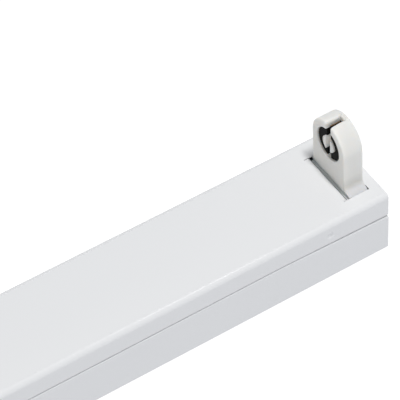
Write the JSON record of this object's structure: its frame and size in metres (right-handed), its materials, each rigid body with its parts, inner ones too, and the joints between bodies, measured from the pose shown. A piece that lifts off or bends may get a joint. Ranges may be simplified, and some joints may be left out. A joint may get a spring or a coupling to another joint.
{
  "type": "tube light fixture",
  "caption": "Slim batten light for a straight two-pin tube: folded steel tray with a clip-fitted cover, rotary lampholders at the ends and a ballast inside.",
  "frame": {"origin": "centre of the flat back of the tray, the face that goes against the ceiling or lies on a table", "axes": "+X along the fixture, +Y across it, +Z out of the back towards the lamp side"},
  "size_m": [0.6224, 0.048, 0.0674],
  "materials": {
    "white_paint": "semi-gloss white powder coat with a very fine orange peel",
    "holder_white": "slightly warm white moulded thermoplastic, satin",
    "rotor_black": "black moulded plastic, fine texture",
    "contact_copper": "rolled phosphor bronze strip",
    "galvanised": "zinc coated sheet steel with faint spangle",
    "zinc_screw": "bright zinc plated steel",
    "insulating_film": "translucent insulating sheet",
    "circuit_board": "glass laminate with green lacquer",
    "ferrite": "sintered ferrite, matt",
    "enamelled_wire": "enamelled copper winding",
    "capacitor_sleeve": "dark shrink sleeve",
    "film_capacitor": "dipped lacquer",
    "terminal_white": "natural white polyamide",
    "terminal_brass": "turned brass",
    "tinned_lug": "tinned copper",
    "grommet_rubber": "black rubber",
    "lead_white": "white insulation",
    "lead_brown": "brown insulation",
    "lead_blue": "blue insulation",
    "lead_green": "green insulation with a yellow stripe",
    "clip_nylon": "natural nylon"
  },
  "bodies": {
    "base": {"base_tray": "white_paint", "lampholder_body_right": "holder_white", "lampholder_body_left": "holder_white", "lampholder_back_right": "holder_white", "lampholder_back_left": "holder_white", "lamp_contacts_right": "contact_copper", "lamp_contacts_left": "contact_copper", "holder_bracket_right": "galvanised", "holder_bracket_left": "galvanised", "bracket_screws": "zinc_screw", "ballast_screws": "zinc_screw", "earth_screw": "zinc_screw", "earth_washer": "zinc_screw", "terminal_fixing_screw": "zinc_screw", "terminal_screws": "zinc_screw", "ballast_base": "galvanised", "ballast_cover": "galvanised", "ballast_liner": "insulating_film", "ballast_pcb": "circuit_board", "choke_core": "ferrite", "choke_coil": "enamelled_wire", "ballast_capacitors": "capacitor_sleeve", "film_capacitors": "film_capacitor", "ballast_input_terminal": "terminal_white", "ballast_output_terminal": "terminal_white", "terminal_block": "terminal_white", "terminal_inserts": "terminal_brass", "earth_lug": "tinned_lug", "cable_grommet": "grommet_rubber", "lamp_leads_right": "lead_white", "lamp_leads_left": "lead_white", "live_lead": "lead_brown", "neutral_lead": "lead_blue", "earth_lead": "lead_green", "wire_clips": "clip_nylon"},
    "cover": {"cover": "white_paint"},
    "rotor_right": {"lamp_rotor_right": "rotor_black"},
    "rotor_left": {"lamp_rotor_left": "rotor_black"}
  },
  "joints": [
    {"name": "cover_lift", "type": "slide", "parent": "base", "child": "cover", "axis": [0, 0, 1], "range_m": [0, 0.06]},
    {"name": "rotor_right_turn", "type": "hinge", "parent": "base", "child": "rotor_right", "pos_m": [0.3, 0, 0.0552], "axis": [1, 0, 0], "range_deg": [-90, 90]},
    {"name": "rotor_left_turn", "type": "hinge", "parent": "base", "child": "rotor_left", "pos_m": [-0.3, 0, 0.0552], "axis": [1, 0, 0], "range_deg": [-90, 90]}
  ]
}
